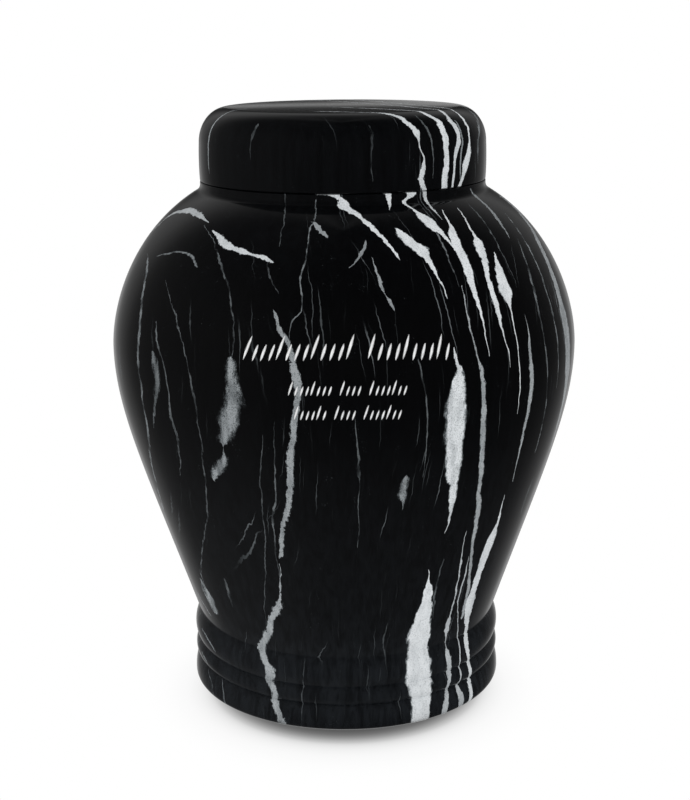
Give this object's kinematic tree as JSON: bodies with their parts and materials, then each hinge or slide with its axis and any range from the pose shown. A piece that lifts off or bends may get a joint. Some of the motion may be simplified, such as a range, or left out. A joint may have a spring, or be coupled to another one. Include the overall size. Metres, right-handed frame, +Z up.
{
  "type": "cremation urn",
  "caption": "Round-bellied memorial urn turned from black veined marble, on a ringed foot, with plain engraved rows on its front and a flat-topped cap lid that lifts off its neck.",
  "frame": {"origin": "centre of the flat underside, on the surface that the urn stands on", "axes": "+Z up along the turning axis towards the lid, -Y towards the engraved front, +X to the right of it"},
  "size_m": [0.2098, 0.2098, 0.267],
  "materials": {
    "body_marble": "polished black marble with white and blue-grey veins, engraved cuts filled with white paint",
    "lid_marble": "polished black marble with white and blue-grey veins"
  },
  "bodies": {
    "root": {"urn_body": "body_marble", "lid": "lid_marble"}
  },
  "joints": []
}
